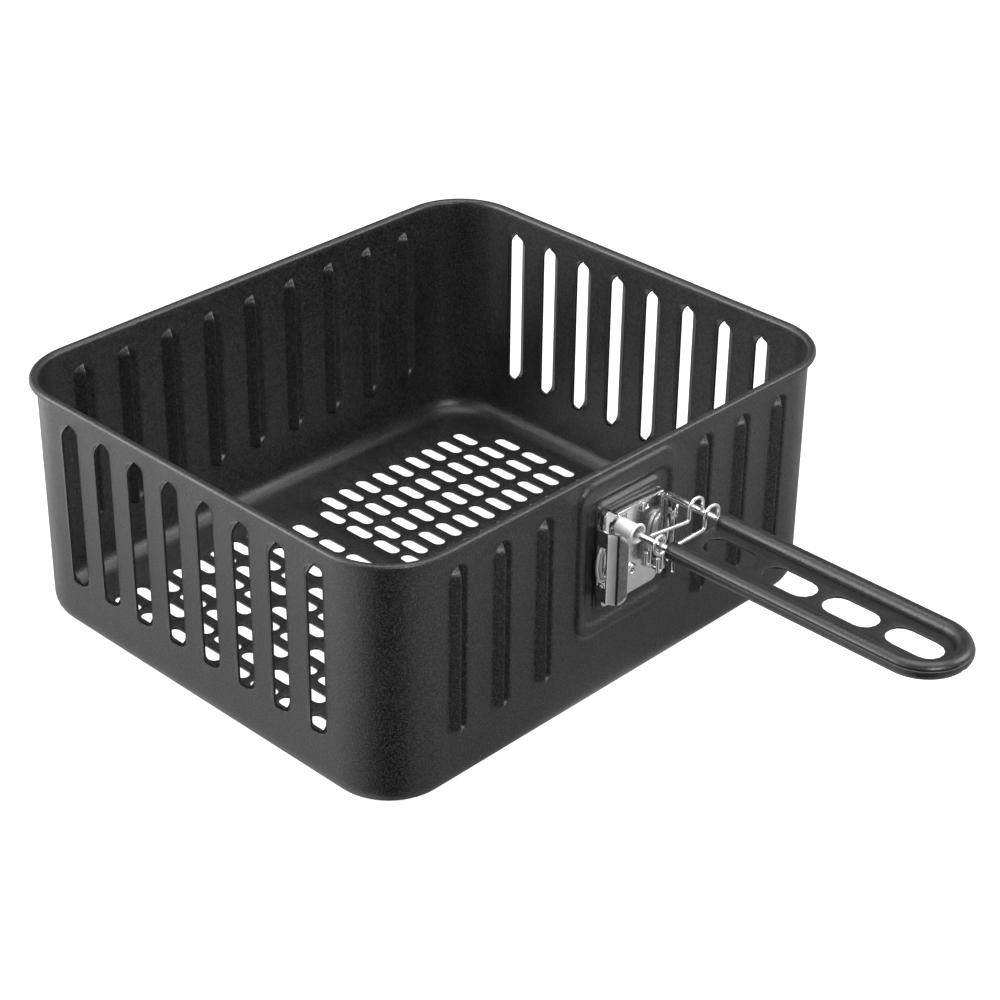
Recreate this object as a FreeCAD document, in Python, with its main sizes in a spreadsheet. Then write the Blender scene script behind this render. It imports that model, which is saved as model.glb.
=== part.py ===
"""Air fryer basket with a lift-out wire handle.

Millimetres, +Z up. The origin is on the surface that the basket stands on, under the middle of
its floor. The handle points to -Y, and the long walls run along X.
"""
import FreeCAD, Part
import math
import os
import Sketcher
from FreeCAD import Placement, Rotation, Vector

doc = FreeCAD.newDocument("AirFryerBasket")
sheet = doc.addObject("Spreadsheet::Sheet", "Dims")

# Driving dimensions
DIMENSIONS = {
    # Basket pressing
    "rim_width": 280, "rim_depth": 240, "basket_height": 117.5, "sheet_gauge": 1.0,
    "lip_overhang": 3.2, "lip_gauge": 1.6, "lip_corner": 30, "wall_corner": 29, "floor_fillet": 10,
    # Louvres: each is a pair of half leaves, one pushed out and one pushed in
    "louvre_bottom": 26.5, "louvre_top": 106.5, "louvre_half": 5.9, "louvre_rise": 3.1,
    "louvre_end": 5.0, "louvre_step_x": 24.5, "louvre_step_y": 21.9,
    # Floor slots
    "slot_width": 6.2, "slot_length": 15.2, "slot_step_x": 11.18, "slot_step_y": 18.55,
    "slot_pair_x": 8.8, "slot_field_gap": 9.3, "slot_margin": 3.0, "slot_corner": 28,
    # Raised pad that carries the bracket
    "pad_width": 58, "pad_tall": 72, "pad_centre_z": 74.8, "pad_rise": 2.0, "pad_corner": 8,
    "pad_slope": 2.2,
    # Bracket
    "plate_gauge": 1.2, "plate_width": 34.8, "plate_bottom": 51, "plate_tall": 46.3,
    "plate_corner": 3.0, "flange_reach": 4.4, "flange_width": 28.0, "channel_outer": 19.4,
    "channel_reach": 6.8, "channel_inner": 9.2, "channel_bottom": 57, "channel_tall": 34.5,
    "channel_bend": 3.0, "channel_round": 5.0, "window_bottom": 64.2, "window_tall": 19.0,
    # Rivets
    "rivet_shank": 4.0, "rivet_head": 6.4, "rivet_head_gauge": 1.4, "rivet_bore": 2.2,
    "rivet_bore_depth": 3.0, "rivet_upper_x": 7.4, "rivet_upper_z": 91, "rivet_lower_z": 62.6,
    "rivet_tail_gauge": 0.8, "backing_gauge": 1.0, "backing_width": 40, "backing_tall": 48,
    # Handle
    "rod_diameter": 3.4, "rod_spacing": 32, "rod_height": 94.2, "rod_bend": 2.2, "leg_gap": 3.6,
    "handle_reach": 161.5, "grip_diameter": 7.6, "grip_mouth": 34.3, "web_gauge": 1.0,
    "web_drop": 0.8, "hole_length": 25, "hole_width": 13, "hole_step": 30, "hole_first": 52,
    # Lock sleeve on the left rod
    "sleeve_start": 7.0, "sleeve_length": 10.5, "sleeve_diameter": 6.8, "sleeve_collar": 8.4,
    "sleeve_collar_gauge": 1.6, "sleeve_mouth": 5.4, "sleeve_mouth_depth": 3.0,
    # Clip of spring wire across both rods
    "clip_wire": 1.7, "clip_first": 21.2, "clip_step": 8.4, "eye_radius": 3.6, "eye_lift": 2.0,
    "tail_drop": 9.0, "tail_return": 5.5, "tail_step": 2.2, "clip_bend": 1.6,
    # Spring loops in the bracket's side windows
    "loop_wire": 1.4, "loop_outside": 1.6, "loop_inside": 7.0,
    # Clearances
    "press_gap": 0.05, "slide_gap": 0.06, "free_gap": 0.2,
}
for row, (alias, value) in enumerate(DIMENSIONS.items(), start=1):
    sheet.set(f"A{row}", alias)
    sheet.set(f"B{row}", str(value))
    sheet.setAlias(f"B{row}", alias)
doc.recompute()


def dim(alias):
    """Value of one driving dimension."""
    return float(sheet.get(alias))


def bind(obj, **expressions):
    """Bind properties of an object to the sheet; a double underscore stands for a dot."""
    for name, expression in expressions.items():
        obj.setExpression(name.replace("__", "."), expression)


# Places that several pieces share
WALL_X = dim("rim_width") / 2 - dim("lip_overhang")
WALL_Y = dim("rim_depth") / 2 - dim("lip_overhang")
GAUGE = dim("sheet_gauge")
PAD_FACE = -WALL_Y - dim("pad_rise")
PLATE_FACE = PAD_FACE - dim("plate_gauge")
ROD_X = dim("rod_spacing") / 2
ROD_Z = dim("rod_height")
ROD_RADIUS = dim("rod_diameter") / 2
LEG_Y = PLATE_FACE - dim("leg_gap")
# The same places as sheet expressions
PAD_FACE_EXPR = "(-Dims.rim_depth / 2 + Dims.lip_overhang - Dims.pad_rise)"
BACK_FACE_EXPR = f"({PAD_FACE_EXPR} + Dims.sheet_gauge + Dims.backing_gauge)"


# Small builders

def feature(name, shape):
    obj = doc.addObject("Part::Feature", name)
    obj.Shape = shape
    return obj


def rounded_outline(width, tall, radius):
    """Closed wire of a rounded rectangle about the origin, in the XY plane."""
    x, y, c = width / 2, tall / 2, radius * (1 - math.sqrt(0.5))
    near_x, near_y = x - radius, y - radius
    edges = []
    for sx, sy, turned in ((1, 1, False), (-1, 1, True), (-1, -1, False), (1, -1, True)):
        side = Vector(sx * x, sy * near_y, 0)
        end = Vector(sx * near_x, sy * y, 0)
        middle = Vector(sx * (x - c), sy * (y - c), 0)
        first, last = (end, side) if turned else (side, end)
        if edges:
            edges.append(Part.LineSegment(edges[-1].EndPoint, first))
        edges.append(Part.Arc(first, middle, last))
    edges.append(Part.LineSegment(edges[-1].EndPoint, edges[0].StartPoint))
    return Part.Wire([edge.toShape() for edge in edges])


def slot_prism(width, length, depth):
    """Round-ended slot, long in Y, from z = 0 up to depth."""
    side, reach = width / 2, (length - width) / 2
    near_left, near_right = Vector(-side, -reach, 0), Vector(side, -reach, 0)
    far_left, far_right = Vector(-side, reach, 0), Vector(side, reach, 0)
    outline = [Part.LineSegment(near_right, far_right),
               Part.Arc(far_right, Vector(0, length / 2, 0), far_left),
               Part.LineSegment(far_left, near_left),
               Part.Arc(near_left, Vector(0, -length / 2, 0), near_right)]
    return Part.Face(Part.Wire([edge.toShape() for edge in outline])).extrude(Vector(0, 0, depth))


def bent_path(points, radius):
    """Straight runs through the points, joined by tangent arcs of one radius."""
    edges = []
    start = points[0]
    for before, corner, after in zip(points, points[1:], points[2:]):
        back = (before - corner).normalize()
        ahead = (after - corner).normalize()
        half = back.getAngle(ahead) / 2
        trim = radius / math.tan(half)
        inward = (back + ahead).normalize()
        middle = corner + inward * (radius / math.sin(half) - radius)
        first, last = corner + back * trim, corner + ahead * trim
        if (first - start).Length > 1e-6:
            edges.append(Part.LineSegment(start, first).toShape())
        edges.append(Part.Arc(first, middle, last).toShape())
        start = last
    if (points[-1] - start).Length > 1e-6:
        edges.append(Part.LineSegment(start, points[-1]).toShape())
    return edges


def wire_solid(edges, diameter):
    """Round wire of one diameter along a tangent path."""
    path = Part.Wire(edges)
    first = path.OrderedEdges[0]
    start = first.valueAt(first.FirstParameter)
    heading = first.tangentAt(first.FirstParameter)
    section = Part.Wire([Part.Circle(start, heading, diameter / 2).toShape()])
    solid = path.makePipeShell([section], True, True)
    return solid if solid.Volume > 0 else solid.reversed()


def origin_plane(body, role):
    return next(item for item in body.Origin.OriginFeatures if item.Role == role)


def sketch_on(body, name, role="XY_Plane"):
    sketch = body.newObject("Sketcher::SketchObject", name)
    sketch.AttachmentSupport = [(origin_plane(body, role), "")]
    sketch.MapMode = "FlatFace"
    return sketch


def rounded_sketch(sketch, width, tall, radius):
    """Add a rounded rectangle about the sketch's origin; the sizes are sheet expressions."""
    first = sketch.GeometryCount
    x, y, r = 50.0, 40.0, 5.0
    corners = ((x - r, -y + r, 270), (x - r, y - r, 0), (-x + r, y - r, 90), (-x + r, -y + r, 180))
    starts = ((-x + r, -y), (x, -y + r), (x - r, y), (-x, y - r))
    ends = ((x - r, -y), (x, y - r), (-x + r, y), (-x, -y + r))
    up = Vector(0, 0, 1)
    for (cx, cy, turn), a, b in zip(corners, starts, ends):
        sketch.addGeometry(Part.LineSegment(Vector(*a, 0), Vector(*b, 0)))
        circle = Part.Circle(Vector(cx, cy, 0), up, r)
        angle = math.radians(turn)
        sketch.addGeometry(Part.ArcOfCircle(circle, angle, angle + math.pi / 2))
    for k in range(8):
        pair = (first + k, 2, first + (k + 1) % 8, 1)
        sketch.addConstraint(Sketcher.Constraint("Tangent", *pair))
    for k, way in ((0, "Horizontal"), (2, "Vertical"), (4, "Horizontal"), (6, "Vertical")):
        sketch.addConstraint(Sketcher.Constraint(way, first + k))
    for k in (3, 5, 7):
        sketch.addConstraint(Sketcher.Constraint("Equal", first + 1, first + k))
    sketch.addConstraint(Sketcher.Constraint("Symmetric", first + 1, 3, first + 5, 3, -1, 1))
    sizes = (
        (Sketcher.Constraint("DistanceX", first + 6, 1, first + 2, 1, 2 * x), width),
        (Sketcher.Constraint("DistanceY", first, 1, first + 4, 1, 2 * y), tall),
        (Sketcher.Constraint("Radius", first + 1, r), radius),
    )
    for constraint, expression in sizes:
        index = sketch.addConstraint(constraint)
        sketch.setExpression(f"Constraints[{index}]", expression)


def turned_body(label, profile, place):
    """Body of revolution about its own Z axis; profile is a list of (radius, z) expressions."""
    body = doc.addObject("PartDesign::Body", label)
    sketch = sketch_on(body, f"{label}_profile", "XZ_Plane")
    guess = [(2.0 + k % 3, 1.0 + k) for k in range(len(profile))]
    for k, point in enumerate(guess):
        other = guess[(k + 1) % len(guess)]
        sketch.addGeometry(Part.LineSegment(Vector(*point, 0), Vector(*other, 0)))
    for k in range(len(profile)):
        pair = (k, 2, (k + 1) % len(profile), 1)
        sketch.addConstraint(Sketcher.Constraint("Coincident", *pair))
    for k, expressions in enumerate(profile):
        for way, expression in zip(("DistanceX", "DistanceY"), expressions):
            value = guess[k][0 if way == "DistanceX" else 1]
            index = sketch.addConstraint(Sketcher.Constraint(way, -1, 1, k, 1, value))
            sketch.setExpression(f"Constraints[{index}]", expression)
    turn = body.newObject("PartDesign::Revolution", f"{label}_turn")
    turn.Profile = sketch
    turn.ReferenceAxis = (sketch, ["V_Axis"])
    turn.Angle = 360
    body.Placement = place
    doc.recompute()
    return body


# Basket pressing

def shell_blank():
    """Drawn tray with a rounded floor and a flat lip, before its louvres and slots."""
    body = doc.addObject("PartDesign::Body", "shell_blank")
    wall_w = "(Dims.rim_width - 2 * Dims.lip_overhang)"
    wall_d = "(Dims.rim_depth - 2 * Dims.lip_overhang)"
    outline = sketch_on(body, "wall_outline")
    rounded_sketch(outline, wall_w, wall_d, "Dims.wall_corner")
    walls = body.newObject("PartDesign::Pad", "walls")
    walls.Profile = outline
    bind(walls, Length="Dims.basket_height")
    doc.recompute()
    floor = min(range(len(walls.Shape.Faces)), key=lambda k: walls.Shape.Faces[k].CenterOfMass.z)
    rounding = body.newObject("PartDesign::Fillet", "floor_rounding")
    rounding.Base = (walls, [f"Face{floor + 1}"])
    bind(rounding, Radius="Dims.floor_fillet")
    doc.recompute()
    top = max(range(len(rounding.Shape.Faces)), key=lambda k: rounding.Shape.Faces[k].CenterOfMass.z)
    hollow = body.newObject("PartDesign::Thickness", "hollow")
    hollow.Base = (rounding, [f"Face{top + 1}"])
    hollow.Reversed = True
    bind(hollow, Value="Dims.sheet_gauge")
    doc.recompute()
    ring = sketch_on(body, "lip_outline")
    bind(ring, AttachmentOffset__Base__z="Dims.basket_height - Dims.lip_gauge")
    rounded_sketch(ring, "Dims.rim_width", "Dims.rim_depth", "Dims.lip_corner")
    inside = "- 2 * Dims.sheet_gauge"
    rounded_sketch(ring, f"{wall_w} {inside}", f"{wall_d} {inside}", "Dims.wall_corner - Dims.sheet_gauge")
    lip = body.newObject("PartDesign::Pad", "lip")
    lip.Profile = ring
    bind(lip, Length="Dims.lip_gauge")
    doc.recompute()
    return body.Shape.copy()


def pad_loft(grow, low, high):
    """Rounded frustum that stands out of the front wall, from y = low to y = high."""
    wires = []
    for depth, extra in ((low, dim("pad_slope")), (high, 0.0)):
        wide = dim("pad_width") + 2 * (extra + grow)
        tall = dim("pad_tall") + 2 * (extra + grow)
        wire = rounded_outline(wide, tall, dim("pad_corner") + extra + grow)
        wire.Placement = Placement(Vector(0, depth, dim("pad_centre_z")), Rotation(Vector(1, 0, 0), 90))
        wires.append(wire)
    return Part.makeLoft(wires, True, True)


def louvre():
    """One louvre about u = 0: the opening to cut, and the two leaves to add.

    u runs along the wall, v runs outward from the wall's outer face, and z is up.
    """
    half, rise, end = dim("louvre_half"), dim("louvre_rise"), dim("louvre_end")
    low, high = dim("louvre_bottom"), dim("louvre_top")
    through = Vector(0, -GAUGE, 0)
    opening = [(-half, low + end), (0, low), (half, low + end)]
    opening += [(half, high - end), (0, high), (-half, high - end)]
    ring = [Vector(u, 1.0, z) for u, z in opening]
    cut = Part.Face(Part.makePolygon(ring + ring[:1])).extrude(Vector(0, -GAUGE - 2.0, 0))
    leaves = []
    for side in (-1, 1):
        edge_v = side * rise
        base_low, base_high = Vector(side * half, 0, low + end), Vector(side * half, 0, high - end)
        edge_low, edge_high = Vector(0, edge_v, low + end), Vector(0, edge_v, high - end)
        tip_low, tip_high = Vector(0, 0, low), Vector(0, 0, high)
        for ring in ((base_low, base_high, edge_high, edge_low), (base_high, tip_high, edge_high),
                     (base_low, tip_low, edge_low)):
            leaves.append(Part.Face(Part.makePolygon(list(ring) + [ring[0]])).extrude(through))
    return cut, leaves[0].multiFuse(leaves[1:])


def louvre_places():
    """Placements of every louvre, wall by wall; the front wall leaves room for the pad."""
    places = []
    walls = (
        ("front", 0, -WALL_Y, WALL_X, "louvre_step_x"),
        ("right", 90, -WALL_X, WALL_Y, "louvre_step_y"),
        ("back", 180, -WALL_Y, WALL_X, "louvre_step_x"),
        ("left", 270, -WALL_X, WALL_Y, "louvre_step_y"),
    )
    for wall, turn, face, half_run, step_name in walls:
        step = dim(step_name)
        room = half_run - dim("wall_corner") - dim("louvre_half")
        odd = step_name == "louvre_step_x"
        start = 0 if odd else step / 2
        count = int((room - start) / step) + 1
        offsets = sorted({sign * (start + k * step) for k in range(count) for sign in (-1, 1)})
        blocked = dim("pad_width") / 2 + dim("pad_slope") + dim("louvre_half")
        for offset in offsets:
            if wall == "front" and abs(offset) < blocked:
                continue
            spin = Rotation(Vector(0, 0, 1), turn)
            turned = spin.multiply(Rotation(Vector(0, 0, 1), 180))
            places.append(Placement(spin.multVec(Vector(offset, face, 0)), turned))
    return places


def floor_slots():
    """Round-ended slots through the floor, in a field each side and a staggered pair of rows."""
    half_x = WALL_X - dim("floor_fillet") - dim("slot_margin")
    half_y = WALL_Y - dim("floor_fillet") - dim("slot_margin")
    reach_x, reach_y, corner = dim("slot_width") / 2, dim("slot_length") / 2, dim("slot_corner")
    columns = [(dim("slot_pair_x"), 0.0)]
    x = dim("slot_pair_x") + dim("slot_field_gap")
    while x + reach_x <= half_x:
        columns.append((x, dim("slot_step_y") / 2))
        x += dim("slot_step_x")
    tool = slot_prism(dim("slot_width"), dim("slot_length"), 3 * GAUGE)
    slots = []
    for x, y in columns:
        while y + reach_y <= half_y:
            out_x = max(0.0, x + reach_x - (half_x - corner))
            out_y = max(0.0, y + reach_y - (half_y - corner))
            if math.hypot(out_x, out_y) <= corner:
                for sign_x in (-1, 1):
                    for sign_y in ((-1, 1) if y else (1,)):
                        slots.append(tool.translated(Vector(sign_x * x, sign_y * y, -GAUGE)))
            y += dim("slot_step_y")
    return slots


def rivet_holes(radius):
    """Pins through the front wall, plates and bracket at the three rivets."""
    length = 6 * dim("pad_rise") + 6 * GAUGE
    pins = []
    for x, z in RIVETS.values():
        pins.append(Part.makeCylinder(radius, length, Vector(x, PAD_FACE - length / 2, z), Vector(0, 1, 0)))
    return pins


RIVETS = {
    "upper_left": (-dim("rivet_upper_x"), dim("rivet_upper_z")),
    "upper_right": (dim("rivet_upper_x"), dim("rivet_upper_z")),
    "lower": (0.0, dim("rivet_lower_z")),
}


def basket_shell():
    shell = shell_blank()
    shell = shell.fuse(pad_loft(0.0, -WALL_Y + GAUGE / 2, PAD_FACE))
    shell = shell.cut(pad_loft(-GAUGE, -WALL_Y + 2 * GAUGE, PAD_FACE + GAUGE))
    opening, leaves = louvre()
    cuts, adds = [], []
    for place in louvre_places():
        cuts.append(opening.transformed(place.toMatrix(), True))
        adds.append(leaves.transformed(place.toMatrix(), True))
    hole = dim("rivet_shank") / 2 + dim("press_gap")
    shell = shell.cut(cuts + floor_slots() + rivet_holes(hole))
    return feature("basket_shell", shell.multiFuse(adds).removeSplitter())


# Bracket and its fasteners

def prism_xz(outline, low, high, x=0.0, z=0.0):
    """Extrude an outline drawn in XZ from y = low to y = high."""
    wire = outline.copy()
    wire.Placement = Placement(Vector(x, high, z), Rotation(Vector(1, 0, 0), 90))
    return Part.Face(wire).extrude(Vector(0, low - high, 0))


def side_channel():
    """Left side channel: a strip bent forward and back in, with a window and a closed foot."""
    outer, inner = -dim("channel_outer"), -dim("channel_inner")
    gauge, bend = dim("plate_gauge"), dim("channel_bend")
    front = PLATE_FACE - dim("channel_reach")
    root = -dim("plate_width") / 2 + dim("plate_corner")

    def corner(x, y, radius):
        s = radius * (1 - math.sqrt(0.5))
        return Part.Arc(Vector(x, y + radius, 0), Vector(x + s, y + s, 0), Vector(x + radius, y, 0))

    points = [(root, PAD_FACE), (outer, PAD_FACE), (outer, front + bend)]
    edges = [Part.LineSegment(Vector(*a, 0), Vector(*b, 0)) for a, b in zip(points, points[1:])]
    edges.append(corner(outer, front, bend))
    lip = [(outer + bend, front), (inner, front), (inner, front + gauge), (outer + bend, front + gauge)]
    edges += [Part.LineSegment(Vector(*a, 0), Vector(*b, 0)) for a, b in zip(lip, lip[1:])]
    edges.append(corner(outer + gauge, front + gauge, bend - gauge))
    home = [(outer + gauge, front + bend), (outer + gauge, PLATE_FACE), (root, PLATE_FACE), (root, PAD_FACE)]
    edges += [Part.LineSegment(Vector(*a, 0), Vector(*b, 0)) for a, b in zip(home, home[1:])]
    low, tall = dim("channel_bottom"), dim("channel_tall")
    strip = Part.Face(Part.Wire(Part.__sortEdges__([e.toShape() for e in edges])))
    strip = strip.extrude(Vector(0, 0, tall)).translated(Vector(0, 0, low))
    # The free edge of the strip has rounded corners, like a D
    span = inner - outer
    keep = rounded_outline(2 * span, tall, dim("channel_round"))
    strip = strip.common(prism_xz(keep, front - 1.0, PAD_FACE + 1.0, outer, low + tall / 2))
    reach = dim("channel_reach")
    foot = Part.makeBox(-outer - ROD_X + 2 * ROD_RADIUS, reach, gauge, Vector(outer, front, low))
    foot = foot.common(Part.makeBox(span, reach - bend, tall, Vector(outer, front + bend, low)))
    window_y = front + bend
    window = Part.makeBox(3 * gauge, PLATE_FACE - window_y, dim("window_tall"),
                          Vector(outer - gauge, window_y, dim("window_bottom")))
    return strip.fuse(foot).cut(window)


def handle_bracket():
    middle = dim("plate_bottom") + dim("plate_tall") / 2
    outline = rounded_outline(dim("plate_width"), dim("plate_tall"), dim("plate_corner"))
    plate = prism_xz(outline, PLATE_FACE, PAD_FACE, 0, middle)
    top = dim("plate_bottom") + dim("plate_tall")
    wide, reach, gauge = dim("flange_width"), dim("flange_reach"), dim("plate_gauge")
    flange = Part.makeBox(wide, reach + gauge, gauge, Vector(-wide / 2, PLATE_FACE - reach, top - gauge))
    left = side_channel()
    right = left.mirror(Vector(0, 0, 0), Vector(1, 0, 0))
    solid = plate.multiFuse([flange, left, right])
    solid = solid.cut(rivet_holes(dim("rivet_shank") / 2 + dim("press_gap")))
    return feature("handle_bracket", solid.removeSplitter())


def backing_plate():
    """Flat plate in the hollow behind the pad, under the rivets' inner heads."""
    block = doc.addObject("Part::Box", "backing_block")
    bind(block, Length="Dims.backing_width", Width="Dims.backing_gauge", Height="Dims.backing_tall",
         Placement__Base__x="-Dims.backing_width / 2",
         Placement__Base__y=f"{PAD_FACE_EXPR} + Dims.sheet_gauge",
         Placement__Base__z="Dims.pad_centre_z - Dims.backing_tall / 2")
    pins = []
    for name, (x, z) in (("upper_left", ("-Dims.rivet_upper_x", "Dims.rivet_upper_z")),
                         ("upper_right", ("Dims.rivet_upper_x", "Dims.rivet_upper_z")),
                         ("lower", ("0", "Dims.rivet_lower_z"))):
        pin = doc.addObject("Part::Cylinder", f"backing_hole_{name}")
        pin.Placement.Rotation = Rotation(Vector(1, 0, 0), 90)
        bind(pin, Radius="Dims.rivet_shank / 2 + Dims.press_gap", Height="4 * Dims.backing_gauge",
             Placement__Base__x=x, Placement__Base__y=f"{BACK_FACE_EXPR} + Dims.backing_gauge",
             Placement__Base__z=z)
        pins.append(pin)
    holes = doc.addObject("Part::MultiFuse", "backing_holes")
    holes.Shapes = pins
    plate = doc.addObject("Part::Cut", "backing_plate")
    plate.Base = block
    plate.Tool = holes
    return plate


def rivet(name):
    """Tubular rivet: flat tail inside the basket, domed drilled head on the bracket."""
    x, z = RIVETS[name]
    grip = "(Dims.backing_gauge + Dims.sheet_gauge + Dims.plate_gauge)"
    head = f"({grip} + Dims.rivet_head_gauge)"
    shank, cap, bore = "Dims.rivet_shank / 2", "Dims.rivet_head / 2", "Dims.rivet_bore / 2"
    profile = [("0", "-Dims.rivet_tail_gauge"), (cap, "-Dims.rivet_tail_gauge"), (cap, "0"), (shank, "0"),
               (shank, grip), (cap, grip), (f"{cap} - Dims.rivet_head_gauge / 2", head), (bore, head),
               (bore, f"{head} - Dims.rivet_bore_depth"), ("0", f"{head} - Dims.rivet_bore_depth")]
    back = PAD_FACE + GAUGE + dim("backing_gauge")
    place = Placement(Vector(x, back, z), Rotation(Vector(1, 0, 0), 90))
    return turned_body(f"rivet_{name}", profile, place)


# Handle

def handle_path():
    """Centre line of the handle wire: a leg, a rod, the round end, a rod and a leg."""
    foot = dim("channel_bottom") + dim("plate_gauge") + dim("press_gap")
    turn_y = PLATE_FACE - dim("handle_reach") + ROD_X
    left_end, right_end = Vector(-ROD_X, turn_y, ROD_Z), Vector(ROD_X, turn_y, ROD_Z)
    left = [Vector(-ROD_X, LEG_Y, foot), Vector(-ROD_X, LEG_Y, ROD_Z), left_end]
    right = [right_end, Vector(ROD_X, LEG_Y, ROD_Z), Vector(ROD_X, LEG_Y, foot)]
    end = Part.Arc(left_end, Vector(0, turn_y - ROD_X, ROD_Z), right_end)
    return bent_path(left, dim("rod_bend")) + [end.toShape()] + bent_path(right, dim("rod_bend"))


def handle_wire():
    return feature("handle_wire", wire_solid(handle_path(), dim("rod_diameter")))


def grip_shell():
    """Pressed grip: a web with four oblong holes, its edge curled round the handle wire."""
    mouth = PLATE_FACE - dim("grip_mouth")
    turn_y = PLATE_FACE - dim("handle_reach") + ROD_X
    edges = [Part.LineSegment(Vector(-ROD_X, mouth, ROD_Z), Vector(-ROD_X, turn_y, ROD_Z)).toShape(),
             Part.Arc(Vector(-ROD_X, turn_y, ROD_Z), Vector(0, turn_y - ROD_X, ROD_Z),
                      Vector(ROD_X, turn_y, ROD_Z)).toShape(),
             Part.LineSegment(Vector(ROD_X, turn_y, ROD_Z), Vector(ROD_X, mouth, ROD_Z)).toShape()]
    curl = wire_solid(edges, dim("grip_diameter"))
    bore = wire_solid(edges, dim("rod_diameter") + 2 * dim("press_gap"))
    level = ROD_Z - dim("web_drop") - dim("web_gauge") / 2
    half = ROD_X - (dim("grip_diameter") + dim("rod_diameter")) / 4
    left, right = Vector(-half, turn_y, level), Vector(half, turn_y, level)
    back_left, back_right = Vector(-half, mouth, level), Vector(half, mouth, level)
    outline = [Part.LineSegment(back_right, back_left), Part.LineSegment(back_left, left),
               Part.Arc(left, Vector(0, turn_y - half, level), right), Part.LineSegment(right, back_right)]
    web = Part.Face(Part.Wire([edge.toShape() for edge in outline])).extrude(Vector(0, 0, dim("web_gauge")))
    hole = slot_prism(dim("hole_width"), dim("hole_length"), 3 * dim("web_gauge"))
    holes = []
    centre = dim("hole_first")
    while centre + dim("hole_length") / 2 < dim("handle_reach") - dim("grip_diameter") / 2:
        holes.append(hole.translated(Vector(0, PLATE_FACE - centre, level - dim("web_gauge"))))
        centre += dim("hole_step")
    web = web.cut(holes)
    return feature("grip_shell", web.fuse(curl).cut(bore).removeSplitter())


def lock_sleeve():
    """Flared sleeve that slides on the left rod, against the bracket."""
    bore = "(Dims.rod_diameter / 2 + Dims.slide_gap)"
    body_r, collar_r, mouth_r = "Dims.sleeve_diameter / 2", "Dims.sleeve_collar / 2", "Dims.sleeve_mouth / 2"
    length = "Dims.sleeve_length"
    neck = f"({length} - Dims.sleeve_collar_gauge)"
    step = f"({length} - Dims.sleeve_mouth_depth)"
    ease = "Dims.sleeve_collar_gauge / 4"
    profile = [(bore, "0"), (body_r, "0"), (body_r, neck), (collar_r, f"{neck} + {ease}"),
               (collar_r, f"{length} - {ease}"), (f"{collar_r} - {ease}", length),
               (mouth_r, length), (mouth_r, step), (bore, step)]
    start = Vector(-ROD_X, PLATE_FACE - dim("sleeve_start"), ROD_Z)
    return turned_body("lock_sleeve", profile, Placement(start, Rotation(Vector(1, 0, 0), 90)))


def clip_wire():
    """Spring wire: two eyes over the right rod, two cross wires, a hook on the left rod, two tails."""
    wire = dim("clip_wire")
    near = PLATE_FACE - dim("clip_first")
    far = near - dim("clip_step")
    hug = ROD_RADIUS + wire / 2 + dim("slide_gap")
    low = ROD_Z - hug
    eye, eye_z = dim("eye_radius"), ROD_Z + dim("eye_lift")
    step, bend = dim("tail_step"), dim("clip_bend")
    bottom = low - dim("tail_drop")

    def eye_arc(y, outward):
        inner, outer = Vector(ROD_X - eye, y, eye_z), Vector(ROD_X + eye, y, eye_z)
        ends = (inner, outer) if outward else (outer, inner)
        return Part.Arc(ends[0], Vector(ROD_X, y, eye_z + eye), ends[1]).toShape()

    tip = bottom + dim("tail_return")
    first = [Vector(-ROD_X + step, near, tip), Vector(-ROD_X + step, near, bottom - step / 2)]
    first_tail = bent_path(first[:1] + [first[1] + Vector(0, 0, step / 2)], bend)
    turn = Part.Arc(first_tail[-1].Vertexes[-1].Point, Vector(-ROD_X + step / 2, near, bottom - step / 2),
                    Vector(-ROD_X, near, bottom)).toShape()
    arm = bent_path([Vector(-ROD_X, near, bottom), Vector(-ROD_X, near, low), Vector(ROD_X - eye, near, low),
                     Vector(ROD_X - eye, near, eye_z)], bend)
    link_z = eye_z - 2 * bend - 0.4
    link = bent_path([Vector(ROD_X + eye, near, eye_z), Vector(ROD_X + eye, near, link_z),
                      Vector(ROD_X + eye, far, link_z), Vector(ROD_X + eye, far, eye_z)], bend)
    # The far arm goes under the left rod, up and over it, and down again beside itself
    shift = wire + dim("free_gap")
    back = bent_path([Vector(ROD_X - eye, far, eye_z), Vector(ROD_X - eye, far, low),
                      Vector(-ROD_X, far, low)], bend)
    slant = hug * math.sqrt(0.5)
    over_left = Vector(-ROD_X - hug, far + shift / 2, ROD_Z)
    over_right = Vector(-ROD_X + hug, far + shift, ROD_Z)
    round_low = Part.Arc(Vector(-ROD_X, far, low),
                         Vector(-ROD_X - slant, far + shift / 4, ROD_Z - slant), over_left).toShape()
    round_top = Part.Arc(over_left, Vector(-ROD_X, far + 3 * shift / 4, ROD_Z + hug), over_right).toShape()
    hang = Part.LineSegment(over_right, Vector(-ROD_X + hug, far + shift, bottom)).toShape()
    turn_back = Part.Arc(Vector(-ROD_X + hug, far + shift, bottom),
                         Vector(-ROD_X + hug - step / 2, far + shift, bottom - step / 2),
                         Vector(-ROD_X + hug - step, far + shift, bottom)).toShape()
    rise = Part.LineSegment(Vector(-ROD_X + hug - step, far + shift, bottom),
                            Vector(-ROD_X + hug - step, far + shift, tip)).toShape()
    edges = first_tail + [turn] + arm + [eye_arc(near, True)] + link + [eye_arc(far, False)] + back
    edges += [round_low, round_top, hang, turn_back, rise]
    return feature("clip_wire", wire_solid(edges, wire))


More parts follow.
